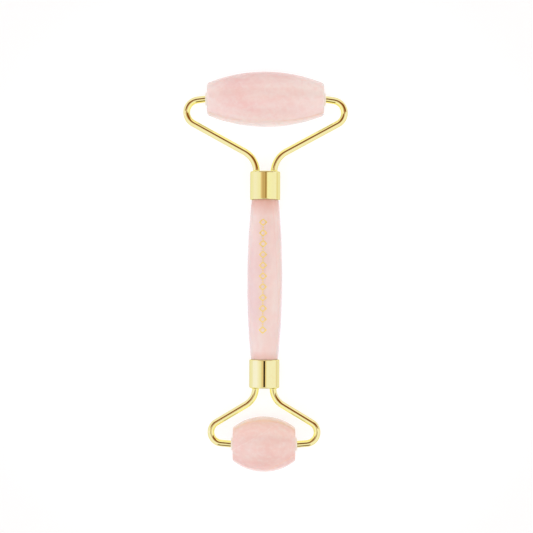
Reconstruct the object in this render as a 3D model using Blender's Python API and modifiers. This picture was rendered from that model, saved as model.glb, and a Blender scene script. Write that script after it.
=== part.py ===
"""Two-ended face roller: a stone handle with a turned stone roller in a sprung wire fork at each end.

Frame: the tool lies on its two rollers. +X is along the roller axles, +Y runs along the handle to the
large roller, and +Z is up. The origin is under the middle of the tool, on the surface it lies on.
Units are metres.
"""
import math

import bmesh
import bpy
from mathutils import Matrix, Vector

# ---- Layout ----
AXLE_SPACING = 0.12495      # between the two roller axles
ROLLER_R = 0.0100           # both rollers, at the crown of the barrel
AXIS_Z = ROLLER_R           # every axis lies at this height
GAP = 0.0003                # between pieces that touch, or are glued, on the real tool

# ---- Roller stones ----
LARGE_WIDTH = 0.0424
LARGE_CROWN_R = 0.0556      # arc that the barrel's side is turned to
SMALL_WIDTH = 0.0226
SMALL_CROWN_R = 0.01776
STONE_BORE_R = 0.0021
STONE_EDGE_ROUND = 0.0005

# ---- Handle stone ----
HANDLE_CENTRE_Y = -0.0030
HANDLE_HALF = 0.0289        # from its middle to the mouth of each ferrule
HANDLE_MID_R = 0.00635
HANDLE_CROWN_R = 0.283
SPIGOT_R = 0.00440          # turned end that is glued into a ferrule
SPIGOT_LENGTH = 0.0046

# ---- Ferrules ----
FERRULE_R = 0.00545
FERRULE_LENGTH = 0.0103
FERRULE_WALL = 0.0007
FERRULE_END = 0.0009        # thickness of the end wall
FERRULE_END_ROUND = 0.0006
FERRULE_LIP_ROUND = 0.00025

# ---- Wire forks: in a fork's own plane, x is along the axle and y from the axle to the handle ----
WIRE_R = 0.00124
LEG_X = 0.00317             # each leg, from the middle plane
U_DEPTH = 0.0033            # hidden cross run of the wire, from the ferrule's outer end
U_BEND_R = 0.0018
AXLE_DEPTH = 0.0080         # how far an axle stub reaches into its stone
STUB_BEND_R = 0.0030
LARGE_FORK = {
    "reach": 0.02149,       # from the axle to where the lines of a leg and an arm meet
    "arm_angle": math.radians(28.7),
    "stub_tilt": math.radians(8.0),     # the sprung stub leans towards the handle
    "end_bend_r": 0.00454,
    "leg_bend_r": 0.00850,
}
SMALL_FORK = {
    "reach": 0.01622,
    "arm_angle": math.radians(31.0),
    "stub_tilt": math.radians(5.0),
    "end_bend_r": 0.00404,
    "leg_bend_r": 0.00700,
}

# ---- Bushings ----
BUSHING_R = STONE_BORE_R - GAP
BUSHING_BORE_R = 0.001292   # 0.04 mm running clearance to the wire at the middle of a facet
BUSHING_LENGTH = 0.0070
FLANGE_R = 0.00235
FLANGE_THICKNESS = 0.0004
FLANGE_ROUND = 0.0002

# ---- Fineness ----
CROWN_STEPS = 14
STONE_STEPS = 40
METAL_STEPS = 32
BUSHING_STEPS = 24
HOLE_STEPS = 24
WIRE_SIDES = 4              # bevel resolution: a twelve-sided wire
WIRE_ARC = math.radians(11)     # longest step round a bend in a wire
EDGE_ARC = math.radians(30)     # longest step round a small edge
SHARP = math.radians(32)
MERGE = 0.00001
CLEAR = 0.001               # how far a cutter runs past what it cuts

TURN_TO = {                 # turns a shape's own +Z to a direction
    "+Y": Matrix.Rotation(-math.pi / 2, 4, "X"),
    "-Y": Matrix.Rotation(math.pi / 2, 4, "X"),
    "+X": Matrix.Rotation(math.pi / 2, 4, "Y"),
    "-X": Matrix.Rotation(-math.pi / 2, 4, "Y"),
}


class End:
    """One end of the tool: where its roller, fork and ferrule lie, and which way they point."""

    def __init__(self, name, way, width, crown_r, fork):
        self.name = name
        self.axle_y = way * AXLE_SPACING / 2
        self.mouth_y = HANDLE_CENTRE_Y + way * HANDLE_HALF
        self.outward = "+Y" if way > 0 else "-Y"
        self.fork_turn = Matrix.Rotation(math.pi if way > 0 else 0, 4, "Z")
        self.ferrule_end = abs(self.axle_y - self.mouth_y) - FERRULE_LENGTH     # from the axle
        self.width = width
        self.crown_r = crown_r
        self.fork = fork


# ---- Scene and materials ----
def empty_scene():
    for obj in list(bpy.data.objects):
        bpy.data.objects.remove(obj, do_unlink=True)


def new_collection(name):
    collection = bpy.data.collections.new(name)
    bpy.context.scene.collection.children.link(collection)
    return collection


def make_material(name, colour, metallic=0.0, roughness=0.4, transmission=0.0):
    material = bpy.data.materials.new(name)
    material.use_nodes = True
    material.diffuse_color = (*colour, 1.0)
    shader = material.node_tree.nodes["Principled BSDF"]
    shader.inputs["Base Color"].default_value = (*colour, 1.0)
    shader.inputs["Metallic"].default_value = metallic
    shader.inputs["Roughness"].default_value = roughness
    shader.inputs["Transmission Weight"].default_value = transmission
    return material


# ---- Outlines ----
def rounded(corners, radii, longest_step):
    """The path through the corners, with each inner corner turned by an arc of its own radius."""
    points = [Vector(corners[0])]
    for before, corner, after, radius in zip(corners, corners[1:], corners[2:], radii):
        corner = Vector(corner)
        if radius == 0:
            points.append(corner)
            continue
        back = (Vector(before) - corner).normalized()
        ahead = (Vector(after) - corner).normalized()
        half = back.angle(ahead) / 2
        turn = math.pi - 2 * half
        centre = corner + (back + ahead).normalized() * radius / math.sin(half)
        start = corner + back * radius / math.tan(half) - centre
        end = corner + ahead * radius / math.tan(half) - centre
        steps = math.ceil(turn / longest_step)
        for i in range(steps + 1):
            left = math.sin((1 - i / steps) * turn) / math.sin(turn)
            right = math.sin(i / steps * turn) / math.sin(turn)
            points.append(centre + start * left + end * right)
    points.append(Vector(corners[-1]))
    return points


def crown(radius, crown_r, half):
    """The arc of a barrel's side from its top end to its bottom end, as (radius, height)."""
    heights = [half * (1 - 2 * i / CROWN_STEPS) for i in range(CROWN_STEPS + 1)]
    return [(radius - crown_r + math.sqrt(crown_r ** 2 - h ** 2), h) for h in heights]


def fork_points(end):
    """A fork's whole centreline: stub, end bend, arm, leg, hidden U, and the same mirrored."""
    fork = end.fork
    tip_x = end.width / 2 - AXLE_DEPTH
    stub_x = end.width / 2 + FLANGE_THICKNESS + 2 * GAP
    arm = math.tan(fork["arm_angle"])
    stub = math.tan(fork["stub_tilt"])
    # the lines of the stub and of the arm meet far outside the bend between them
    meet_x = (fork["reach"] + arm * LEG_X + stub * stub_x) / (arm + stub)
    meet_y = stub * (meet_x - stub_x)
    half = [
        (tip_x, 0), (stub_x, 0), (meet_x, meet_y), (LEG_X, fork["reach"]),
        (LEG_X, end.ferrule_end + U_DEPTH),
    ]
    radii = [STUB_BEND_R, fork["end_bend_r"], fork["leg_bend_r"], U_BEND_R]
    mirrored = [(-x, y) for x, y in reversed(half)]
    return rounded(half + mirrored, radii + radii[::-1], WIRE_ARC)


# ---- Shapes ----
def place(obj, collection, location, turn=Matrix.Identity(4), parent=None):
    collection.objects.link(obj)
    obj.parent = parent
    obj.matrix_world = Matrix.Translation(location) @ turn
    bpy.context.view_layer.update()


def evaluated_mesh(obj):
    evaluated = obj.evaluated_get(bpy.context.evaluated_depsgraph_get())
    return bpy.data.meshes.new_from_object(evaluated)


def freeze(obj):
    """Keeps the modifiers' result as the object's mesh, shaded smooth between its real edges."""
    mesh = evaluated_mesh(obj)
    mesh.name = obj.name
    obj.modifiers.clear()
    obj.data = mesh
    mesh.shade_smooth()
    mesh.set_sharp_from_angle(angle=SHARP)


def turned(name, outline, steps, material, closed=False):
    """A turned piece: its outline (radius, height) runs down its outer side, round its own Z."""
    form = bmesh.new()
    line = [form.verts.new((point[0], 0, point[1])) for point in outline]
    pairs = list(zip(line, line[1:]))
    if closed:
        pairs.append((line[-1], line[0]))
    for pair in pairs:
        form.edges.new(pair)
    mesh = bpy.data.meshes.new(name)
    form.to_mesh(mesh)
    form.free()
    mesh.materials.append(material)
    obj = bpy.data.objects.new(name, mesh)
    screw = obj.modifiers.new("turn", "SCREW")
    screw.steps = steps
    screw.render_steps = steps
    screw.use_merge_vertices = True
    screw.merge_threshold = MERGE
    return obj


def round_wire(name, points, radius, material):
    """A round wire along the points of its own XY plane, with closed ends."""
    curve = bpy.data.curves.new(name, "CURVE")
    curve.dimensions = "3D"
    curve.bevel_depth = radius
    curve.bevel_resolution = WIRE_SIDES
    curve.use_fill_caps = True
    curve.materials.append(material)
    spline = curve.splines.new("POLY")
    spline.points.add(len(points) - 1)
    for point, (x, y) in zip(spline.points, points):
        point.co = (x, y, 0, 1)
    return bpy.data.objects.new(name, curve)


def as_mesh(curve_object, collection):
    """A closed mesh in place of the wire, because a curve can't cut."""
    mesh = evaluated_mesh(curve_object)
    form = bmesh.new()
    form.from_mesh(mesh)
    bmesh.ops.remove_doubles(form, verts=form.verts, dist=MERGE)
    form.to_mesh(mesh)
    form.free()
    obj = bpy.data.objects.new(curve_object.name + "_mesh", mesh)
    collection.objects.link(obj)
    obj.matrix_world = curve_object.matrix_world
    bpy.data.objects.remove(curve_object, do_unlink=True)
    return obj


def cut(obj, cutter):
    cutter.hide_render = True
    cutter.display_type = "WIRE"
    boolean = obj.modifiers.new("cut", "BOOLEAN")
    boolean.operation = "DIFFERENCE"
    boolean.solver = "EXACT"
    boolean.object = cutter


# ---- Sub-parts ----
def make_handle(stone, parts):
    """A slim barrel that ends in a spigot for each ferrule."""
    shoulder = HANDLE_HALF - GAP
    tip = HANDLE_HALF + SPIGOT_LENGTH
    outline = [
        (0, tip), (SPIGOT_R, tip), (SPIGOT_R, shoulder),
        *crown(HANDLE_MID_R, HANDLE_CROWN_R, shoulder),
        (SPIGOT_R, -shoulder), (SPIGOT_R, -tip), (0, -tip),
    ]
    obj = turned("handle_stone", outline, METAL_STEPS, stone)
    place(obj, parts, (0, HANDLE_CENTRE_Y, AXIS_Z), TURN_TO["+Y"])
    freeze(obj)


def make_ferrule(end, gold, parts, cutters):
    """A plated cup with two wire holes in its end. Its own z = 0 is the mouth, +z points outward."""
    inner_r = FERRULE_R - FERRULE_WALL
    inner_end = FERRULE_LENGTH - FERRULE_END
    corners = [
        (0, FERRULE_LENGTH), (FERRULE_R, FERRULE_LENGTH), (FERRULE_R, 0),
        (inner_r, 0), (inner_r, inner_end), (0, inner_end),
    ]
    outline = rounded(corners, [FERRULE_END_ROUND, FERRULE_LIP_ROUND, 0, 0], EDGE_ARC)
    obj = turned(f"{end.name}_end_ferrule", outline, METAL_STEPS, gold)
    place(obj, parts, (0, end.mouth_y, AXIS_Z), TURN_TO[end.outward])
    for side, sign in (("left", -1), ("right", 1)):
        form = bmesh.new()
        bmesh.ops.create_cone(
            form, cap_ends=True, segments=HOLE_STEPS, radius1=WIRE_R + GAP, radius2=WIRE_R + GAP,
            depth=FERRULE_END + 2 * CLEAR,
        )
        mesh = bpy.data.meshes.new("wire_hole")
        form.to_mesh(mesh)
        form.free()
        hole = bpy.data.objects.new(f"{end.name}_{side}_wire_hole", mesh)
        middle = obj.matrix_world @ Vector((sign * LEG_X, 0, FERRULE_LENGTH - FERRULE_END / 2))
        place(hole, cutters, middle, TURN_TO[end.outward])
        cut(obj, hole)
    freeze(obj)


def make_fork(end, gold, parts):
    """One bent wire: both axle stubs, both arms, both legs, and the U that the glue holds."""
    obj = round_wire(f"{end.name}_fork", fork_points(end), WIRE_R, gold)
    place(obj, parts, (0, end.axle_y, AXIS_Z), end.fork_turn)


def make_epoxy(end, glue, parts, cutters):
    """Cured adhesive between the spigot and the ferrule's end wall, cast round the wire's U."""
    radius = FERRULE_R - FERRULE_WALL - GAP
    bottom = SPIGOT_LENGTH + GAP
    top = FERRULE_LENGTH - FERRULE_END - GAP
    outline = [(0, top), (radius, top), (radius, bottom), (0, bottom)]
    obj = turned(f"{end.name}_end_epoxy", outline, METAL_STEPS, glue)
    place(obj, parts, (0, end.mouth_y, AXIS_Z), TURN_TO[end.outward])
    buried = [point for point in fork_points(end) if point[1] > end.ferrule_end - CLEAR]
    channel = round_wire(f"{end.name}_wire_channel", buried, WIRE_R + GAP, glue)
    place(channel, cutters, (0, end.axle_y, AXIS_Z), end.fork_turn)
    cut(obj, as_mesh(channel, cutters))
    freeze(obj)


def make_roller(end, stone, plastic, parts):
    """A bored barrel stone and its two bushings, all under an empty on the axle."""
    axle = bpy.data.objects.new(f"{end.name}_roller_axis", None)
    place(axle, parts, (0, end.axle_y, AXIS_Z))
    half = end.width / 2
    side = crown(ROLLER_R, end.crown_r, half)
    corners = [(STONE_BORE_R, half), *side, (STONE_BORE_R, -half)]
    radii = [STONE_EDGE_ROUND, *[0] * (len(side) - 2), STONE_EDGE_ROUND]
    outline = rounded(corners, radii, EDGE_ARC)
    barrel = turned(f"{end.name}_roller_stone", outline, STONE_STEPS, stone, closed=True)
    place(barrel, parts, (0, end.axle_y, AXIS_Z), TURN_TO["+X"], axle)
    freeze(barrel)
    for name, sign, facing in (("left", -1, "-X"), ("right", 1, "+X")):
        bushing = make_bushing(f"{end.name}_{name}_bushing", plastic)
        place(bushing, parts, (sign * half, end.axle_y, AXIS_Z), TURN_TO[facing], axle)
        freeze(bushing)


def make_bushing(name, plastic):
    """A flanged sleeve. Its own z = 0 is the stone's end face, and +z points out of the stone."""
    face = GAP + FLANGE_THICKNESS
    corners = [
        (BUSHING_BORE_R, face), (FLANGE_R, face), (FLANGE_R, GAP),
        (BUSHING_R, GAP), (BUSHING_R, -BUSHING_LENGTH), (BUSHING_BORE_R, -BUSHING_LENGTH),
    ]
    outline = rounded(corners, [FLANGE_ROUND, 0, 0, 0], EDGE_ARC)
    return turned(name, outline, BUSHING_STEPS, plastic, closed=True)


# ---- Assembly ----
def main():
    empty_scene()
    parts = new_collection("face_roller")
    cutters = new_collection("cutters")
    stone = make_material("rose_quartz", (0.87, 0.60, 0.56), roughness=0.12, transmission=0.15)
    gold = make_material("polished_gold", (0.90, 0.72, 0.36), metallic=1.0, roughness=0.08)
    plastic = make_material("white_plastic", (0.90, 0.88, 0.83), roughness=0.35)
    glue = make_material("clear_epoxy", (0.80, 0.74, 0.60), roughness=0.3, transmission=0.5)
    make_handle(stone, parts)
    for end in (
        End("large", 1, LARGE_WIDTH, LARGE_CROWN_R, LARGE_FORK),
        End("small", -1, SMALL_WIDTH, SMALL_CROWN_R, SMALL_FORK),
    ):
        make_ferrule(end, gold, parts, cutters)
        make_fork(end, gold, parts)
        make_epoxy(end, glue, parts, cutters)
        make_roller(end, stone, plastic, parts)


main()
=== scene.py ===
"""Visual model of a two-ended stone face roller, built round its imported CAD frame.

The tool lies on its two rollers: +X is along the axles, +Y runs along the handle to the large
roller, and +Z is up. Units are metres, except in the materials, which work in millimetres.
"""
import math

import bmesh
import bpy
from mathutils import Matrix, Vector, noise


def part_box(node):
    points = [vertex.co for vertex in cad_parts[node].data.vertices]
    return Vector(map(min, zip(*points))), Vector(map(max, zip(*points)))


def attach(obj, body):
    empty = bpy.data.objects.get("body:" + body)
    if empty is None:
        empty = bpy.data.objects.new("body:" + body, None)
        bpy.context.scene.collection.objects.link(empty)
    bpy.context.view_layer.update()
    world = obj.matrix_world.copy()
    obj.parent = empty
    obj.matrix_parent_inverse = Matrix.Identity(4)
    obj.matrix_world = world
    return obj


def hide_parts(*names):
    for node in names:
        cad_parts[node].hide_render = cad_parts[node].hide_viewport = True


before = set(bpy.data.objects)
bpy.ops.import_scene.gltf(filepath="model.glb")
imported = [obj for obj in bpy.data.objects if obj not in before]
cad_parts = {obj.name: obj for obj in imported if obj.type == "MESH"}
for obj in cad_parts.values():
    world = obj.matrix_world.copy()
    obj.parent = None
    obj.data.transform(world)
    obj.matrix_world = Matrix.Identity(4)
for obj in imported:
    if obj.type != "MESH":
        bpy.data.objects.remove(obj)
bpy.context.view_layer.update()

# ---- Sizes that the CAD frame gives ----
large_low, large_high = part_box("large_roller_stone")
small_low, small_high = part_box("small_roller_stone")
handle_low, handle_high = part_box("handle_stone")
large_ferrule_low, large_ferrule_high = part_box("large_end_ferrule")
small_ferrule_low, small_ferrule_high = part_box("small_end_ferrule")

ROLLER_R = (large_high.z - large_low.z) / 2
AXIS_Z = (large_high.z + large_low.z) / 2
FERRULE_R = (large_ferrule_high.x - large_ferrule_low.x) / 2
FERRULE_LENGTH = large_ferrule_high.y - large_ferrule_low.y
HANDLE_MID_R = (handle_high.x - handle_low.x) / 2
HANDLE_CENTRE_Y = (handle_high.y + handle_low.y) / 2
SPIGOT_TIP = (handle_high.y - handle_low.y) / 2

# ---- Sizes inside the pieces, as in the CAD ----
HANDLE_HALF = large_ferrule_low.y - HANDLE_CENTRE_Y     # from its middle to a ferrule's mouth
HANDLE_CROWN_R = 0.283
SPIGOT_R = 0.00440
STONE_BORE_R = 0.0021
FERRULE_WALL = 0.0007
FERRULE_END = 0.0009
WIRE_R = 0.00122
LEG_X = 0.00317
U_DEPTH = 0.0033
U_BEND_R = 0.0018
AXLE_DEPTH = 0.0080
STUB_BEND_R = 0.0030
FLANGE_R = 0.00235
FLANGE_OUT = 0.0007         # how far a bushing's face stands out of its stone
BUSHING_R = 0.00195
BUSHING_BORE_R = 0.001292
BUSHING_LENGTH = 0.0070
STUB_START = 0.0010         # from a stone's end to where the wire may begin to bend
TIGHT = 0.00002             # between pieces that touch

# ---- Edges ----
SPIGOT_ROUND = 0.0003
SHOULDER_ROUND = 0.0001
FERRULE_END_ROUND = 0.0005
FERRULE_LIP_ROUND = 0.0003
FERRULE_INNER_ROUND = 0.0001
WIRE_TIP_ROUND = 0.0002
STONE_BORE_ROUND = 0.00012
BUSHING_MOUTH_ROUND = 0.00012
FLANGE_ROUND = 0.0003
FLANGE_BACK_ROUND = 0.00005
FLANGE_TAPER = 0.0001       # a flange is this much thinner at its rim
SLEEVE_ROUND = 0.0001
SHARP = math.radians(38)    # edges sharper than this aren't smoothed over

MM = 0.001


class End:
    """One end of the tool: its roller, its fork and its ferrule.

    way is the end's direction along Y. crown_r is the radius of the curve along its stone's side, and
    edge_r the rounding of the stone's end edges. The fork's reach is from the axle to its legs' bends.
    """

    def __init__(self, name, way, low, high, ferrule_low, ferrule_high, crown_r, edge_r, fork):
        self.name = name
        self.way = way
        self.axle_y = (low.y + high.y) / 2
        self.width = high.x - low.x
        self.mouth_y = ferrule_low.y if way > 0 else ferrule_high.y
        self.ferrule_end = abs(self.axle_y - self.mouth_y) - FERRULE_LENGTH
        self.outward = "+Y" if way > 0 else "-Y"
        self.fork_turn = Matrix.Rotation(math.pi if way > 0 else 0, 4, "Z")
        self.crown_r = crown_r
        self.edge_r = edge_r
        self.fork = fork


LARGE = End(
    "large", 1, large_low, large_high, large_ferrule_low, large_ferrule_high,
    crown_r=0.0556, edge_r=0.0011,
    fork={
        "reach": 0.02149, "arm_angle": math.radians(28.7), "stub_tilt": math.radians(8.0),
        "end_bend_r": 0.00454, "leg_bend_r": 0.00850,
    },
)
SMALL = End(
    "small", -1, small_low, small_high, small_ferrule_low, small_ferrule_high,
    crown_r=0.01776, edge_r=0.0009,
    fork={
        "reach": 0.01622, "arm_angle": math.radians(31.0), "stub_tilt": math.radians(5.0),
        "end_bend_r": 0.00404, "leg_bend_r": 0.00700,
    },
)

TURN_TO = {                 # turns a shape's own +Z to a direction
    "+Y": Matrix.Rotation(-math.pi / 2, 4, "X"),
    "-Y": Matrix.Rotation(math.pi / 2, 4, "X"),
    "+X": Matrix.Rotation(math.pi / 2, 4, "Y"),
    "-X": Matrix.Rotation(-math.pi / 2, 4, "Y"),
}


# ---- Node graphs ----
class Graph:
    """Adds nodes to a tree. An input may be a value or another node's output."""

    def __init__(self, tree):
        self.tree = tree

    def add(self, kind, inputs=None, **settings):
        node = self.tree.nodes.new(kind)
        for key, value in settings.items():
            setattr(node, key, value)
        for key, value in (inputs or {}).items():
            if isinstance(value, bpy.types.NodeSocket):
                self.tree.links.new(value, node.inputs[key])
            else:
                node.inputs[key].default_value = value
        return node

    def math(self, operation, a, b=0.0):
        return self.add("ShaderNodeMath", {0: a, 1: b}, operation=operation).outputs[0]

    def times(self, a, b):
        return self.math("MULTIPLY", a, b)

    def fit(self, value, low, high, to_low=0.0, to_high=1.0, smooth=True):
        """The value carried from low..high to to_low..to_high, and held at its ends."""
        kind = "SMOOTHSTEP" if smooth else "LINEAR"
        inputs = {"Value": value, "From Min": low, "From Max": high, "To Min": to_low, "To Max": to_high}
        return self.add("ShaderNodeMapRange", inputs, interpolation_type=kind).outputs["Result"]

    def window(self, value, rise, fall):
        """1 between the two edges and 0 outside, each edge given as (start, end) of its ramp."""
        return self.times(self.fit(value, *rise), self.fit(value, fall[0], fall[1], 1.0, 0.0))

    def mix(self, factor, a, b):
        """The colour a where factor is 0 and b where it is 1."""
        node = self.add("ShaderNodeMix", {0: factor, 6: a, 7: b}, data_type="RGBA")
        return node.outputs[2]

    def tint(self, colour, factor, towards):
        """The colour, turned towards another one by factor."""
        return self.mix(factor, colour, rgb(*towards))

    def ramp(self, value, stops):
        """A colour read off at value, from stops of (value, colour)."""
        low, high = stops[0][0], stops[-1][0]
        inputs = {"Fac": self.fit(value, low, high, smooth=False)}
        node = self.add("ShaderNodeValToRGB", inputs)
        elements = node.color_ramp.elements
        for _ in stops[2:]:
            elements.new(0.5)
        for element, (at, colour) in zip(elements, stops):
            element.position = (at - low) / (high - low)
            element.color = rgb(*colour)
        return node.outputs["Color"]

    def noise(self, vector, scale, detail=2.0, roughness=0.5, distortion=0.0):
        inputs = {"Vector": vector, "Scale": scale, "Detail": detail, "Roughness": roughness,
                  "Distortion": distortion}
        return self.add("ShaderNodeTexNoise", inputs).outputs["Fac"]

    def scaled(self, vector, scale, shift=(0, 0, 0), turn=(0, 0, 0)):
        inputs = {"Vector": vector, "Scale": scale, "Location": shift, "Rotation": turn}
        return self.add("ShaderNodeMapping", inputs).outputs["Vector"]


def rgb(*colour):
    return (*colour, 1.0)


def new_material(name):
    """A new material with its graph, its shader and the object's own coordinates in millimetres."""
    material = bpy.data.materials.new(name)
    material.use_nodes = True
    graph = Graph(material.node_tree)
    shader = material.node_tree.nodes["Principled BSDF"]
    place = graph.add("ShaderNodeTexCoord").outputs["Object"]
    millimetres = graph.scaled(place, (1 / MM,) * 3)
    return material, graph, shader, millimetres


def connect(graph, shader, links, values):
    for key, output in links.items():
        graph.tree.links.new(output, shader.inputs[key])
    for key, value in values.items():
        shader.inputs[key].default_value = value


def bump(graph, height, distance):
    inputs = {"Height": height, "Distance": distance, "Strength": 1.0}
    return graph.add("ShaderNodeBump", inputs).outputs["Normal"]


def seam(graph, place, normal, offset, width, wobble):
    """1 on a thin wavy sheet through the stone, where a crack has healed, and 0 away from it."""
    level = graph.add("ShaderNodeVectorMath", {0: place, 1: normal}, operation="DOT_PRODUCT")
    flat = level.outputs["Value"]
    wave = graph.times(graph.math("SUBTRACT", graph.noise(place, 0.3, 2.0), 0.5), wobble)
    off = graph.math("ABSOLUTE", graph.math("SUBTRACT", graph.math("ADD", flat, wave), offset))
    return graph.fit(off, width, 0.0)


def quartz(name, shift, deep, body, pale, streaks, grain, marks_and_light):
    """Polished rose quartz: cloudy, banded along the piece, which is its own Z, and finely mottled.

    streaks is how strong the bands are, and grain is how strong the mottling is. The last argument
    adds the stone's own marks and its painted light and shade.
    """
    material, graph, shader, place = new_material(name)
    clouds = graph.noise(graph.scaled(place, (1.0, 1.0, 0.42), shift), 0.12, 3.0, 0.5, 0.5)
    tilt = (0.0, 0.03, 0.06)
    bands = graph.noise(graph.scaled(place, (1.0, 1.0, 0.09), shift, tilt), 0.40, 2.0, 0.5, 0.3)
    specks = graph.noise(graph.scaled(place, (1.0, 1.0, 1.0), shift), 0.8, 4.0, 0.6)
    colour = graph.mix(graph.fit(clouds, 0.36, 0.54), rgb(*deep), rgb(*body))
    colour = graph.tint(colour, graph.fit(clouds, 0.50, 0.70), pale)
    colour = graph.tint(colour, graph.times(graph.fit(bands, 0.50, 0.68), streaks), pale)
    colour = graph.tint(colour, graph.times(graph.fit(bands, 0.46, 0.30), streaks), deep)
    colour = graph.tint(colour, graph.times(graph.fit(specks, 0.52, 0.75), 0.3), pale)
    # the stone's own marks, and painted light and shade
    colour = marks_and_light(graph, place, colour)
    mottle = graph.noise(graph.scaled(place, (1.0, 1.0, 0.8), shift), 0.65, 3.0, 0.6)
    colour = graph.tint(colour, graph.fit(mottle, 0.50, 0.66, 0.0, grain), (0.81, 0.50, 0.46))
    colour = graph.tint(colour, graph.fit(mottle, 0.50, 0.34, 0.0, grain), (0.88, 0.82, 0.79))
    polish = graph.noise(place, 1.6, 3.0, 0.6)
    ripple = graph.noise(graph.scaled(place, (1.0, 1.0, 0.42)), 0.32, 1.0)
    height = graph.math("ADD", ripple, graph.times(polish, 0.05))
    connect(graph, shader, {
        "Base Color": colour,
        "Roughness": graph.fit(polish, 0.30, 0.75, 0.10, 0.24),
        "Normal": bump(graph, height, 0.04 * MM),
    }, {
        "IOR": 1.54, "Subsurface Weight": 0.35, "Subsurface Radius": (1.0, 0.55, 0.45),
        "Subsurface Scale": 2.2 * MM,
    })
    return material


def gold(name, colour, warm, polish, along=None, inside=None):
    """Bright gold plating: a hair of unevenness, faint buffing marks and warmer worn spots.

    polish is its lowest and highest roughness. Its buffing marks are drawn out along an axis, if one is
    named, and the inner side of a fork's loops may get a painted reflection of the gold facing it.
    """
    material, graph, shader, place = new_material(name)
    marks = tuple(0.15 if axis == along else 3.5 for axis in "XYZ")
    patches = graph.noise(place, 0.55, 3.0, 0.6, 0.3)
    buffing = graph.noise(graph.scaled(place, marks), 1.6, 3.0, 0.6)
    smudge = graph.noise(place, 0.9, 2.0)
    height = graph.math("ADD", graph.times(buffing, 0.06), smudge)
    plating = graph.tint(rgb(*colour), graph.fit(patches, 0.45, 0.75, 0.0, 0.45), warm)
    # painted reflection: the loops' inner side turned deeper yellow, as if mirroring the gold opposite
    if inside:
        inner = graph.add("ShaderNodeAttribute", attribute_name="inside").outputs["Fac"]
        plating = graph.tint(plating, graph.fit(inner, 0.1, 0.8), inside)
    connect(graph, shader, {
        "Base Color": plating,
        "Roughness": graph.fit(smudge, 0.35, 0.70, *polish),
        "Normal": bump(graph, height, 0.0010 * MM),
    }, {"Metallic": 1.0, "Specular Tint": rgb(0.82, 0.74, 0.42)})
    return material


def plastic(name):
    """Milky plastic with a fine moulded grain."""
    material, graph, shader, place = new_material(name)
    cloud = graph.noise(place, 0.9, 3.0)
    grain = graph.noise(place, 14.0, 2.0)
    connect(graph, shader, {
        "Base Color": graph.tint(rgb(0.94, 0.87, 0.76), graph.fit(cloud, 0.35, 0.7), (0.97, 0.92, 0.83)),
        "Roughness": graph.fit(grain, 0.3, 0.7, 0.26, 0.42),
        "Normal": bump(graph, grain, 0.004 * MM),
    }, {"IOR": 1.49})
    return material


def resin(name):
    """Cured adhesive: amber and clear, with small bubbles."""
    material, graph, shader, place = new_material(name)
    cloud = graph.noise(place, 0.6, 2.0)
    bubbles = graph.add("ShaderNodeTexVoronoi", {"Vector": place, "Scale": 2.2}).outputs["Distance"]
    connect(graph, shader, {
        "Base Color": graph.tint(rgb(0.80, 0.66, 0.42), graph.fit(cloud, 0.3, 0.7), (0.86, 0.78, 0.60)),
        "Roughness": graph.fit(bubbles, 0.05, 0.25, 0.38, 0.16),
        "Normal": bump(graph, bubbles, 0.03 * MM),
    }, {"IOR": 1.53, "Transmission Weight": 0.5})
    return material


def foil(name):
    """Hot-stamped gold foil, a little matt and uneven."""
    material, graph, shader, place = new_material(name)
    wear = graph.noise(place, 5.0, 4.0, 0.7)
    connect(graph, shader, {
        "Base Color": graph.tint(rgb(0.93, 0.70, 0.075), graph.fit(wear, 0.35, 0.70), (0.97, 0.78, 0.115)),
        "Roughness": graph.fit(wear, 0.3, 0.7, 0.34, 0.55),
        "Normal": bump(graph, wear, 0.01 * MM),
    }, {"Metallic": 0.1, "IOR": 1.5})
    return material


# ---- Outlines ----
def rounded(corners, radii, longest_step):
    """The path through the corners, with each inner corner turned by an arc of its own radius."""
    points = [Vector(corners[0])]
    for before, corner, after, radius in zip(corners, corners[1:], corners[2:], radii):
        corner = Vector(corner)
        if radius == 0:
            points.append(corner)
            continue
        back = (Vector(before) - corner).normalized()
        ahead = (Vector(after) - corner).normalized()
        half = back.angle(ahead) / 2
        turn = math.pi - 2 * half
        centre = corner + (back + ahead).normalized() * radius / math.sin(half)
        start = corner + back * radius / math.tan(half) - centre
        end = corner + ahead * radius / math.tan(half) - centre
        steps = max(2, math.ceil(turn / longest_step))
        for i in range(steps + 1):
            left = math.sin((1 - i / steps) * turn) / math.sin(turn)
            right = math.sin(i / steps * turn) / math.sin(turn)
            points.append(centre + start * left + end * right)
    points.append(Vector(corners[-1]))
    return points


def crown(radius, crown_r, half, steps):
    """The arc of a barrel's side from its top end to its bottom end, as (radius, height)."""
    heights = [half * (1 - 2 * i / steps) for i in range(steps + 1)]
    return [(radius - crown_r + math.sqrt(crown_r ** 2 - h ** 2), h) for h in heights]


def fork_points(end):
    """A fork's whole centreline: stub, end bend, arm, leg, hidden U, and the same mirrored."""
    fork = end.fork
    tip_x = end.width / 2 - AXLE_DEPTH
    stub_x = end.width / 2 + STUB_START
    arm = math.tan(fork["arm_angle"])
    stub = math.tan(fork["stub_tilt"])
    meet_x = (fork["reach"] + arm * LEG_X + stub * stub_x) / (arm + stub)
    meet_y = stub * (meet_x - stub_x)
    half = [
        (tip_x, 0), (stub_x, 0), (meet_x, meet_y), (LEG_X, fork["reach"]),
        (LEG_X, end.ferrule_end + U_DEPTH),
    ]
    radii = [STUB_BEND_R, fork["end_bend_r"], fork["leg_bend_r"], U_BEND_R]
    mirrored = [(-x, y) for x, y in reversed(half)]
    return rounded(half + mirrored, radii + radii[::-1], longest_step=math.radians(3.5))


BRACE = 0.00008             # how close a brace is to the end of its straight


def braced(outline):
    """The outline with a point close to each end of its long straights, so that they shade straight."""
    points = [outline[0]]
    for before, after in zip(outline, outline[1:]):
        before, after = Vector(before), Vector(after)
        run = after - before
        if run.length > MM:
            step = run.normalized() * BRACE
            points += [before + step, after - step]
        points.append(after)
    return points


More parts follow.
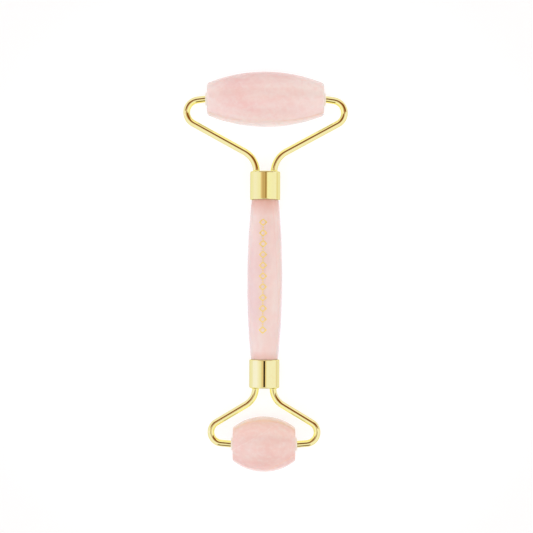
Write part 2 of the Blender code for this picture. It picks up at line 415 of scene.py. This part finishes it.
# ---- Meshes ----
def finished(name, form, material, matrix=Matrix.Identity(4), sharp=SHARP):
    """The bmesh as a smooth-shaded object in the scene."""
    bmesh.ops.recalc_face_normals(form, faces=form.faces)
    mesh = bpy.data.meshes.new(name)
    form.to_mesh(mesh)
    form.free()
    mesh.materials.append(material)
    mesh.shade_smooth()
    mesh.set_sharp_from_angle(angle=sharp)
    obj = bpy.data.objects.new(name, mesh)
    bpy.context.scene.collection.objects.link(obj)
    obj.matrix_world = matrix
    return obj


def turned_form(outline, sides, closed=False):
    """A turned piece round its own Z from its outline of (radius, height)."""
    form = bmesh.new()
    rings = []
    for radius, height in outline:
        if radius < 1e-9:
            rings.append([form.verts.new((0, 0, height))])
            continue
        angles = [2 * math.pi * i / sides for i in range(sides)]
        rings.append([form.verts.new((radius * math.cos(a), radius * math.sin(a), height)) for a in angles])
    pairs = list(zip(rings, rings[1:]))
    if closed:
        pairs.append((rings[-1], rings[0]))
    for one, two in pairs:
        for i in range(sides):
            j = (i + 1) % sides
            corners = [one[i % len(one)], one[j % len(one)], two[j % len(two)], two[i % len(two)]]
            form.faces.new(dict.fromkeys(corners))
    return form


def swept_form(points, radius, sides, tip):
    """A round wire along points of its own XY plane, with its ends rounded over.

    Its attribute "inside" is 1 along the wire's left, the inner side of its loops, and -1 along its right.
    """
    form = bmesh.new()
    inside = form.verts.layers.float.new("inside")
    count = len(points)
    tangents = []
    for i in range(count):
        before = points[max(i - 1, 0)]
        after = points[min(i + 1, count - 1)]
        tangents.append((after - before).normalized())
    steps = 4
    rounding = [math.pi / 2 * k / steps for k in range(steps + 1)]
    stations = [(points[0] + tangents[0] * tip * (1 - math.cos(turn)), tangents[0],
                 radius - tip * (1 - math.sin(turn))) for turn in rounding]
    stations += [(points[i], tangents[i], radius) for i in range(1, count - 1)]
    stations += [(points[-1] - tangents[-1] * tip * (1 - math.cos(turn)), tangents[-1],
                  radius - tip * (1 - math.sin(turn))) for turn in reversed(rounding)]
    rings = []
    for centre, tangent, size in stations:
        across = Vector((-tangent.y, tangent.x, 0))
        ring = []
        for i in range(sides):
            turn = 2 * math.pi * i / sides
            offset = across * math.cos(turn) * size + Vector((0, 0, 1)) * math.sin(turn) * size
            vert = form.verts.new(Vector((centre.x, centre.y, 0)) + offset)
            vert[inside] = math.cos(turn)
            ring.append(vert)
        rings.append(ring)
    for one, two in zip(rings, rings[1:]):
        for i in range(sides):
            j = (i + 1) % sides
            form.faces.new((one[i], one[j], two[j], two[i]))
    form.faces.new(rings[0])
    form.faces.new(rings[-1])
    return form


def show(obj, body, slot, *nodes):
    """Puts a piece on its body and hides the CAD nodes that it stands for. Its slot is not used."""
    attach(obj, body)
    if nodes:
        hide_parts(*nodes)


# ---- Handle ----
def handle_radius(y):
    """The handle's radius at y in the scene."""
    off = y - HANDLE_CENTRE_Y
    return HANDLE_MID_R - HANDLE_CROWN_R + math.sqrt(HANDLE_CROWN_R ** 2 - off ** 2)


def make_handle(material):
    """A slim barrel with a spigot at each end, which its ferrule covers."""
    shoulder = HANDLE_HALF - TIGHT
    side = crown(HANDLE_MID_R, HANDLE_CROWN_R, shoulder, steps=64)
    corners = [(0, SPIGOT_TIP), (SPIGOT_R, SPIGOT_TIP), (SPIGOT_R, shoulder), *side,
               (SPIGOT_R, -shoulder), (SPIGOT_R, -SPIGOT_TIP), (0, -SPIGOT_TIP)]
    radii = [SPIGOT_ROUND, 0, SHOULDER_ROUND, *[0] * (len(side) - 2), SHOULDER_ROUND, 0, SPIGOT_ROUND]
    outline = rounded(corners, radii, longest_step=math.radians(30))
    matrix = Matrix.Translation((0, HANDLE_CENTRE_Y, AXIS_Z)) @ TURN_TO["+Y"]
    obj = finished("handle_quartz", turned_form(outline, sides=128), material, matrix)
    show(obj, "frame", "rose_quartz", "handle_stone")


def on_handle(u, y, lift):
    """A point at u across the top of the handle, measured round it, and lift above its surface."""
    radius = handle_radius(y)
    turn = u / radius
    return Vector((math.sin(turn) * (radius + lift), y, AXIS_Z + math.cos(turn) * (radius + lift)))


FOIL_TOP = 0.0189
FOIL_BOTTOM = -0.0225
FOIL_OFF = -0.00068         # the chain lies a little to the left of the handle's top
FOIL_LOZENGES = 11
FOIL_HALF_WIDTH = 0.00150
FOIL_HALF_LENGTH = 0.00135
FOIL_STROKE = 0.000418      # a lozenge's band, measured along the handle at its tips
FOIL_DOT_R = 0.00026
FOIL_RISE = 0.00002
FOIL_SINK = -0.00002


def foil_loop(form, centre_y):
    """An outlined lozenge, wrapped on the handle, as a closed band of rectangular section."""
    corners = [(FOIL_HALF_WIDTH, 0), (0, FOIL_HALF_LENGTH), (-FOIL_HALF_WIDTH, 0), (0, -FOIL_HALF_LENGTH)]
    inner = 1 - FOIL_STROKE / FOIL_HALF_LENGTH
    steps = 8
    ring = []
    for (x0, y0), (x1, y1) in zip(corners, corners[1:] + corners[:1]):
        for i in range(steps):
            t = i / steps
            ring.append((x0 + (x1 - x0) * t, y0 + (y1 - y0) * t))
    sections = []
    for x, y in ring:
        section = []
        for scale, lift in ((1, FOIL_SINK), (1, FOIL_RISE), (inner, FOIL_RISE), (inner, FOIL_SINK)):
            section.append(form.verts.new(on_handle(FOIL_OFF + x * scale, centre_y + y * scale, lift)))
        sections.append(section)
    for one, two in zip(sections, sections[1:] + sections[:1]):
        for i in range(4):
            j = (i + 1) % 4
            form.faces.new((one[i], one[j], two[j], two[i]))


def foil_dot(form, centre_y):
    """A round dot, wrapped on the handle."""
    sides = 14
    angles = [2 * math.pi * i / sides for i in range(sides)]
    ring = [(FOIL_OFF + FOIL_DOT_R * math.cos(a), centre_y + FOIL_DOT_R * math.sin(a)) for a in angles]
    low = [form.verts.new(on_handle(u, y, FOIL_SINK)) for u, y in ring]
    high = [form.verts.new(on_handle(u, y, FOIL_RISE)) for u, y in ring]
    for i in range(sides):
        j = (i + 1) % sides
        form.faces.new((low[i], low[j], high[j], high[i]))
    form.faces.new(low)
    form.faces.new(high)


def make_foil(material):
    """A chain of lozenges and dots stamped along the handle."""
    form = bmesh.new()
    pitch = (FOIL_TOP - FOIL_BOTTOM - 2 * FOIL_HALF_LENGTH) / (FOIL_LOZENGES - 1)
    for i in range(FOIL_LOZENGES):
        y = FOIL_TOP - FOIL_HALF_LENGTH - i * pitch
        foil_loop(form, y)
        if i < FOIL_LOZENGES - 1:
            foil_dot(form, y - pitch / 2)
    obj = finished("handle_foil", form, material)
    show(obj, "frame", "polished_gold")


# ---- Ferrules and forks ----
def cut(obj, cutter):
    """Cuts the cutter out of the object, and removes the cutter."""
    cutting = obj.modifiers.new("cut", "BOOLEAN")
    cutting.operation = "DIFFERENCE"
    cutting.solver = "EXACT"
    cutting.object = cutter
    evaluated = obj.evaluated_get(bpy.context.evaluated_depsgraph_get())
    mesh = bpy.data.meshes.new_from_object(evaluated)
    obj.modifiers.clear()
    obj.data = mesh
    bpy.data.objects.remove(cutter, do_unlink=True)


def make_ferrule(end, material):
    """A turned cup, open towards the handle, with two holes in its end for the fork's legs."""
    inner_r = FERRULE_R - FERRULE_WALL
    inner_end = FERRULE_LENGTH - FERRULE_END
    corners = [
        (0, FERRULE_LENGTH), (FERRULE_R, FERRULE_LENGTH), (FERRULE_R, 0),
        (inner_r, 0), (inner_r, inner_end), (0, inner_end),
    ]
    radii = [FERRULE_END_ROUND, FERRULE_LIP_ROUND, FERRULE_INNER_ROUND, FERRULE_INNER_ROUND]
    outline = rounded(corners, radii, longest_step=math.radians(11))
    matrix = Matrix.Translation((0, end.mouth_y, AXIS_Z)) @ TURN_TO[end.outward]
    obj = finished(f"{end.name}_ferrule_gold", turned_form(braced(outline), sides=96), material, matrix)
    for sign in (-1, 1):
        hole = bmesh.new()
        bmesh.ops.create_cone(hole, cap_ends=True, segments=48, radius1=WIRE_R + TIGHT,
                              radius2=WIRE_R + TIGHT, depth=4 * FERRULE_END)
        middle = matrix @ Matrix.Translation((sign * LEG_X, 0, FERRULE_LENGTH - FERRULE_END / 2))
        cut(obj, finished("cutter", hole, material, middle))
    obj.data.name = obj.name
    obj.data.shade_smooth()
    obj.data.set_sharp_from_angle(angle=SHARP)
    show(obj, "frame", "polished_gold", f"{end.name}_end_ferrule")


def make_fork(end, material):
    """One bent wire. Its ends are the stubs that the roller turns on, and its U is inside the ferrule."""
    matrix = Matrix.Translation((0, end.axle_y, AXIS_Z)) @ end.fork_turn
    form = swept_form(fork_points(end), WIRE_R, sides=32, tip=WIRE_TIP_ROUND)
    obj = finished(f"{end.name}_fork_wire", form, material, matrix)
    show(obj, "frame", "polished_gold", f"{end.name}_fork")


COLLAR_SINK = 0.00003       # how far a collar reaches into the wire
COLLAR_WIDTH = 0.00042      # how far it spreads from the wire at its foot
COLLAR_FOOT = 0.00004       # how thick it is at the edge of its foot
COLLAR_HEIGHT = 0.00080


def make_collars(end, material):
    """The small collar of solder where each leg of the fork enters the ferrule."""
    inner_r = WIRE_R - COLLAR_SINK
    foot_r = WIRE_R + COLLAR_WIDTH
    outline = [(inner_r, -TIGHT), (foot_r, -TIGHT), (foot_r, COLLAR_FOOT)]
    steps = 8
    for i in range(1, steps):
        turn = math.pi / 2 * i / steps
        radius = foot_r - (foot_r - inner_r) * math.sin(turn)
        outline.append((radius, COLLAR_HEIGHT - (COLLAR_HEIGHT - COLLAR_FOOT) * math.cos(turn)))
    outline.append((inner_r, COLLAR_HEIGHT))
    y = end.mouth_y + end.way * FERRULE_LENGTH
    for side, sign in (("left", -1), ("right", 1)):
        form = turned_form(outline, sides=40, closed=True)
        matrix = Matrix.Translation((sign * LEG_X, y, AXIS_Z)) @ TURN_TO[end.outward]
        obj = finished(f"{end.name}_{side}_solder", form, material, matrix, sharp=math.radians(60))
        show(obj, "frame", "polished_gold")


# ---- Rollers ----
HAND_FINISH = 0.00003       # how far a stone's side is from true at most
HAND_FINISH_SCALE = 160     # waves per metre


def make_roller_stone(end, material):
    """A bored barrel, a hair off true, as a stone that was ground by hand is."""
    half = end.width / 2
    side = crown(ROLLER_R, end.crown_r, half, steps=56)
    corners = [(STONE_BORE_R, 0), (STONE_BORE_R, half), *side, (STONE_BORE_R, -half), (STONE_BORE_R, 0)]
    radii = [STONE_BORE_ROUND, end.edge_r, *[0] * (len(side) - 2), end.edge_r, STONE_BORE_ROUND]
    outline = rounded(corners, radii, longest_step=math.radians(11))
    form = turned_form(outline[:-1], sides=144, closed=True)
    shift = Vector((7, 3, end.way * 5))
    for vert in form.verts:
        out = Vector((vert.co.x, vert.co.y, 0))
        if out.length > STONE_BORE_R + MM:
            wave = noise.noise(vert.co * HAND_FINISH_SCALE + shift)
            vert.co -= out.normalized() * HAND_FINISH * (0.5 + 0.5 * wave)
    matrix = Matrix.Translation((0, end.axle_y, AXIS_Z)) @ TURN_TO["+X"]
    obj = finished(f"{end.name}_roller_quartz", form, material, matrix)
    obj.visible_glossy = False      # the gold mirrors the tent alone
    show(obj, f"{end.name}_roller", "rose_quartz", f"{end.name}_roller_stone")


def make_bushings(end, material):
    """The flanged bushing in each end of a roller stone, drawn from the stone's end outwards."""
    corners = [
        (BUSHING_BORE_R, 0), (BUSHING_BORE_R, FLANGE_OUT), (FLANGE_R, FLANGE_OUT - FLANGE_TAPER),
        (FLANGE_R, TIGHT), (BUSHING_R, TIGHT), (BUSHING_R, -BUSHING_LENGTH),
        (BUSHING_BORE_R, -BUSHING_LENGTH), (BUSHING_BORE_R, 0),
    ]
    radii = [
        BUSHING_MOUTH_ROUND, FLANGE_ROUND, FLANGE_BACK_ROUND, FLANGE_BACK_ROUND, SLEEVE_ROUND,
        SLEEVE_ROUND,
    ]
    outline = rounded(corners, radii, longest_step=math.radians(15))
    for name, sign, facing in (("left", -1, "-X"), ("right", 1, "+X")):
        form = turned_form(outline[:-1], sides=64, closed=True)
        matrix = Matrix.Translation((sign * end.width / 2, end.axle_y, AXIS_Z)) @ TURN_TO[facing]
        obj = finished(f"{end.name}_{name}_bushing_milky", form, material, matrix)
        show(obj, f"{end.name}_roller", "white_plastic", f"{end.name}_{name}_bushing")


# ---- The stones' own marks, and painted light and shade ----
def handle_marks_and_shade(graph, place, colour):
    """Painted shade and reflection by each ferrule, strongest at the large end, and one long vein."""
    along = graph.add("ShaderNodeSeparateXYZ", {"Vector": place}).outputs["Z"]
    mouth = HANDLE_HALF / MM
    # painted shade and warm painted reflection, deepening the stone towards each ferrule's mouth
    for start, end, weight in ((mouth - 6.0, mouth, 0.85), (3.2 - mouth, -mouth, 0.58)):
        ferrule_shade = graph.fit(along, start, end, 0.0, weight, smooth=False)
        colour = graph.tint(colour, ferrule_shade, (0.74, 0.40, 0.32))
    vein = seam(graph, place, (0.97, 0.0, 0.06), 4.4, 0.22, 0.5)
    return graph.tint(colour, graph.times(vein, 0.35), (0.80, 0.53, 0.48))


def round_the_axle(graph, place):
    """How far round a roller's own axle: 1 on its +Y side, -1 on its -Y side and 0 between them."""
    x, y = (graph.add("ShaderNodeSeparateXYZ", {"Vector": place}).outputs[axis] for axis in "XY")
    radius = graph.math("SQRT", graph.math("ADD", graph.times(x, x), graph.times(y, y)))
    return graph.math("DIVIDE", y, graph.math("ADD", radius, 0.001))


def large_marks_and_light(graph, place, colour):
    """Painted shade on the +Y side, painted light at both ends and on the -Y side, a warm crack and a milky
    one.
    """
    along = graph.add("ShaderNodeSeparateXYZ", {"Vector": place}).outputs["Z"]
    side = round_the_axle(graph, place)
    # painted shade along the +Y side
    painted_shade = graph.times(graph.fit(side, 0.35, 0.85), graph.window(along, (-19.0, -12.0), (6.0, 16.0)))
    colour = graph.tint(colour, graph.times(painted_shade, 0.7), (0.805, 0.54, 0.525))
    # painted light at both ends
    off_middle = graph.math("ABSOLUTE", graph.math("ADD", along, 2.5))
    colour = graph.tint(colour, graph.fit(off_middle, 9.0, 21.0, 0.0, 0.85), (0.868, 0.74, 0.712))
    # painted light on the -Y side, palest at its rim
    colour = graph.tint(colour, graph.fit(side, -0.40, -0.72, 0.0, 0.9), (0.895, 0.695, 0.672))
    colour = graph.tint(colour, graph.fit(side, -0.88, -0.98, 0.0, 0.9), (0.955, 0.80, 0.785))
    warm = graph.times(seam(graph, place, (-0.86, 0.51, 0.0), 0.0, 0.32, 0.8), 0.5)
    colour = graph.tint(colour, graph.times(warm, graph.fit(along, 0.0, 8.0)), (0.86, 0.53, 0.43))
    milky = seam(graph, place, (0.15, 0.97, 0.12), 5.6, 1.6, 3.0)
    return graph.tint(colour, graph.times(milky, 0.30), (0.86, 0.74, 0.70))


def small_marks_and_light(graph, place, colour):
    """Painted warm light on +Y, painted shade on -Y, painted light on both rims, and three healed cracks.
    """
    side = round_the_axle(graph, place)
    # painted warm light along the +Y side, brightest at its rim
    colour = graph.tint(colour, graph.fit(side, 0.20, 0.80, 0.0, 0.9), (0.905, 0.64, 0.565))
    colour = graph.tint(colour, graph.fit(side, 0.80, 0.93, 0.0, 0.9), (0.965, 0.735, 0.64))
    # painted shade along the -Y side, then painted light at its rim
    colour = graph.tint(colour, graph.fit(side, -0.35, -0.88, 0.0, 0.9), (0.838, 0.548, 0.51))
    colour = graph.tint(colour, graph.fit(side, -0.84, -0.98, 0.0, 0.8), (0.955, 0.80, 0.785))
    pale = seam(graph, place, (0.0, 0.856, -0.516), 4.26, 0.22, 0.9)
    colour = graph.tint(colour, graph.times(pale, 0.45), (0.90, 0.76, 0.72))
    for normal, offset, width in (((0.88, 0.47, 0.0), 0.0, 0.55), ((0.10, 0.866, -0.49), -9.0, 0.35)):
        warm = seam(graph, place, normal, offset, width, 0.8)
        colour = graph.tint(colour, graph.times(warm, 0.45), (0.92, 0.57, 0.40))
    return colour


# ---- Materials and pieces ----
stone_handle = quartz(
    "rose quartz handle", shift=(3.1, 1.7, 8.2), deep=(0.815, 0.622, 0.605), body=(0.845, 0.665, 0.628),
    pale=(0.853, 0.708, 0.672), streaks=0.15, grain=0.08, marks_and_light=handle_marks_and_shade,
)
stone_large = quartz(
    "rose quartz large", shift=(11.4, 5.3, 2.6), deep=(0.838, 0.58, 0.56), body=(0.853, 0.648, 0.622),
    pale=(0.862, 0.708, 0.682), streaks=0.20, grain=0.20, marks_and_light=large_marks_and_light,
)
stone_small = quartz(
    "rose quartz small", shift=(4.2, 9.8, 6.1), deep=(0.83, 0.57, 0.53), body=(0.843, 0.62, 0.575),
    pale=(0.85, 0.67, 0.635), streaks=0.20, grain=0.22, marks_and_light=small_marks_and_light,
)
gold_ferrule = gold(
    "gold ferrule", colour=(0.895, 0.825, 0.42), warm=(0.90, 0.78, 0.36), polish=(0.02, 0.05), along="Z",
)
gold_wire = gold(
    "gold wire", colour=(0.905, 0.83, 0.43), warm=(0.91, 0.79, 0.36), polish=(0.02, 0.06),
    # painted reflection on the inner side of the loops
    inside=(0.985, 0.895, 0.31),
)
gold_solder = gold("gold solder", colour=(0.98, 0.90, 0.34), warm=(0.96, 0.86, 0.30), polish=(0.16, 0.28))
gold_foil = foil("gold foil")
milky_plastic = plastic("milky plastic")
amber_resin = resin("amber resin")

make_handle(stone_handle)
make_foil(gold_foil)
for end, stone in ((LARGE, stone_large), (SMALL, stone_small)):
    make_ferrule(end, gold_ferrule)
    make_fork(end, gold_wire)
    make_collars(end, gold_solder)
    make_roller_stone(end, stone)
    make_bushings(end, milky_plastic)
    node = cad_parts[f"{end.name}_end_epoxy"]
    for slot in node.material_slots:
        slot.material = amber_resin


# ---- Studio ----
def make_floor():
    """A pale light table, with painted light: it glows a little more under the tool, filling in its shade.
    """
    form = bmesh.new()
    bmesh.ops.create_grid(form, x_segments=8, y_segments=8, size=4.0)
    material = bpy.data.materials.new("pale floor")
    material.use_nodes = True
    graph = Graph(material.node_tree)
    shader = material.node_tree.nodes["Principled BSDF"]
    place = graph.add("ShaderNodeTexCoord").outputs["Object"]
    away = graph.add("ShaderNodeVectorMath", {0: place}, operation="LENGTH").outputs["Value"]
    connect(graph, shader, {
        # painted light: a stronger glow near the tool hides its shadow
        "Emission Strength": graph.fit(away, 0.07, 0.13, 0.60, 0.50),
    }, {
        "Base Color": rgb(0.50, 0.50, 0.50), "Roughness": 0.9, "Specular IOR Level": 0.1,
        "Emission Color": rgb(1.0, 1.0, 1.02),
    })
    floor = finished("floor", form, material)
    floor.location.z = -TIGHT
    floor.visible_glossy = False    # the gold mirrors the tent alone


def make_world():
    """A white light tent with a dark gap overhead, where the lens looks in.

    Directions are in degrees: across and along are how far they lean to +X and to +Y from straight up,
    polar is how far they are from straight up, and azimuth is their bearing from -Y.
    """
    world = bpy.data.worlds.new("light tent")
    bpy.context.scene.world = world
    world.use_nodes = True
    graph = Graph(world.node_tree)
    background = world.node_tree.nodes["Background"]
    direction = graph.add("ShaderNodeTexCoord").outputs["Generated"]
    part = graph.add("ShaderNodeSeparateXYZ", {"Vector": direction}).outputs
    x, y, z = (part[axis] for axis in "XYZ")
    degrees = math.degrees(1)
    across = graph.times(graph.math("ARCTAN2", x, z), degrees)
    along = graph.times(graph.math("ARCSINE", y), degrees)
    azimuth = graph.times(graph.math("ARCTAN2", x, graph.times(y, -1.0)), degrees)
    polar = graph.times(graph.math("ARCCOSINE", z), degrees)

    def patch(one, one_rise, one_fall, two, two_rise, two_fall):
        """1 where both directions are in their windows."""
        return graph.times(graph.window(one, one_rise, one_fall), graph.window(two, two_rise, two_fall))

    # white walls, cooler on the left, and a ground that is duller near the horizon
    sky = graph.ramp(across, [
        (-160, (1.10, 1.07, 1.06)), (-140, (0.98, 0.985, 0.97)), (-110, (0.98, 0.985, 0.95)),
        (-94, (1.0, 1.01, 1.06)), (-34, (1.0, 1.01, 1.06)), (-22, (1.0, 1.0, 1.0)),
        (92, (1.0, 1.0, 1.0)), (106, (0.98, 0.985, 0.95)), (140, (0.98, 0.985, 0.97)),
        (160, (1.10, 1.07, 1.06)),
    ])
    # the gap between two panels of the tent, straight overhead, with the lens in the nearer half
    overhead = graph.ramp(across, [
        (-128, (1.02, 1.05, 1.14)), (-110, (0.99, 0.99, 0.96)), (-92, (1.03, 1.025, 1.19)),
        (-70, (1.01, 1.01, 1.10)), (-52, (0.99, 0.985, 0.96)), (-42, (0.99, 1.0, 0.94)),
        (-35, (0.96, 0.89, 0.70)), (-28, (0.83, 0.62, 0.43)), (-20, (0.67, 0.48, 0.30)),
        (-12, (0.63, 0.44, 0.26)), (-5, (0.68, 0.49, 0.29)), (-1, (0.60, 0.42, 0.24)),
        (3, (0.42, 0.27, 0.13)), (9, (0.42, 0.27, 0.13)), (14, (0.95, 0.82, 0.55)),
        (19, (1.05, 1.07, 0.97)), (40, (1.02, 1.035, 0.98)), (60, (1.01, 1.015, 1.0)),
        (92, (1.02, 1.03, 1.08)), (98, (0.92, 0.87, 0.70)), (116, (0.90, 0.84, 0.65)),
        (126, (1.03, 1.07, 1.16)),
    ])
    nearer = graph.ramp(across, [
        (-128, (1.01, 1.03, 1.20)), (-110, (0.965, 0.975, 0.97)), (-94, (1.04, 1.06, 1.42)),
        (-62, (1.05, 1.065, 1.46)), (-50, (1.03, 1.035, 1.25)), (-40, (1.0, 0.99, 1.06)),
        (-26, (0.95, 0.94, 0.82)), (-18, (0.85, 0.70, 0.54)), (-8, (0.86, 0.67, 0.46)),
        (6, (0.85, 0.66, 0.45)), (12, (0.88, 0.72, 0.52)), (17, (1.0, 1.01, 1.0)),
        (25, (1.015, 1.017, 1.11)), (92, (1.015, 1.017, 1.11)), (103, (0.96, 0.91, 0.88)),
        (110, (0.85, 0.75, 0.60)), (118, (0.90, 0.84, 0.76)), (127, (1.03, 1.07, 1.28)),
    ])
    lens = patch(across, (-7.5, -6.5), (5.5, 6.5), along, (-5.3, -4.9), (-1.3, -1.1))
    nearer = graph.tint(nearer, lens, (0.015, 0.009, 0.006))
    gap = graph.mix(graph.fit(along, -1.0, 0.5), nearer, overhead)
    sky = graph.mix(graph.window(along, (-9.0, -6.0), (5.0, 9.0)), sky, gap)
    # beyond the tent's far edge the warm room shows, with a dark doorway straight ahead and a chink by it
    room = graph.ramp(along, [
        (5, (0.95, 0.60, 0.25)), (9, (0.60, 0.24, 0.06)), (11, (0.26, 0.08, 0.015)),
        (35, (0.26, 0.08, 0.015)), (40, (0.90, 0.45, 0.15)), (46, (1.0, 1.0, 1.0)),
    ])
    beyond = patch(across, (-60.0, -45.0), (60.0, 75.0), along, (7.0, 10.0), (40.0, 45.0))
    sky = graph.mix(beyond, sky, room)
    doorway = patch(across, (-11.0, -6.0), (6.0, 11.0), along, (10.0, 13.0), (32.0, 38.0))
    sky = graph.tint(sky, doorway, (0.13, 0.045, 0.012))
    chink = patch(across, (-6.0, 0.0), (26.0, 34.0), along, (4.9, 5.3), (10.0, 12.0))
    sky = graph.tint(sky, chink, (0.32, 0.12, 0.03))
    # a strip of brown table shows on the near side
    table = patch(azimuth, (-24.0, -14.0), (14.0, 24.0), polar, (46.0, 52.0), (84.0, 98.0))
    sky = graph.tint(sky, table, (0.22, 0.12, 0.03))
    graph.tree.links.new(sky, background.inputs["Color"])
    background.inputs["Strength"].default_value = 1.0


def make_softbox():
    """A broad light overhead, which isn't mirrored in anything."""
    data = bpy.data.lights.new("softbox", "AREA")
    data.shape = "SQUARE"
    data.size = 1.4
    data.energy = 8.0
    softbox = bpy.data.objects.new("softbox", data)
    bpy.context.scene.collection.objects.link(softbox)
    softbox.location = (0, 0, 1.5)
    softbox.visible_glossy = False
    softbox.visible_camera = False


def make_camera():
    """Nearly straight above the tool, with the large roller at the top of the picture."""
    data = bpy.data.cameras.new("camera")
    data.sensor_width = 36.0
    data.lens = 111.7
    data.clip_start = 0.01
    data.clip_end = 50.0
    camera = bpy.data.objects.new("camera", data)
    bpy.context.scene.collection.objects.link(camera)
    eye = Vector((0.00028, -0.00988, AXIS_Z + 0.5993))
    target = Vector((0.00061, 0.00176, AXIS_Z))
    roll = Matrix.Rotation(math.radians(0.27), 4, "Z")
    ahead = (target - eye).normalized()
    right = ahead.cross(Vector((0, 1, 0))).normalized()
    up = right.cross(ahead)
    facing = Matrix((right, up, -ahead)).transposed().to_4x4()
    camera.matrix_world = Matrix.Translation(eye) @ facing @ roll
    bpy.context.scene.camera = camera


make_floor()
make_world()
make_softbox()
make_camera()
bpy.context.scene.view_settings.view_transform = "Standard"
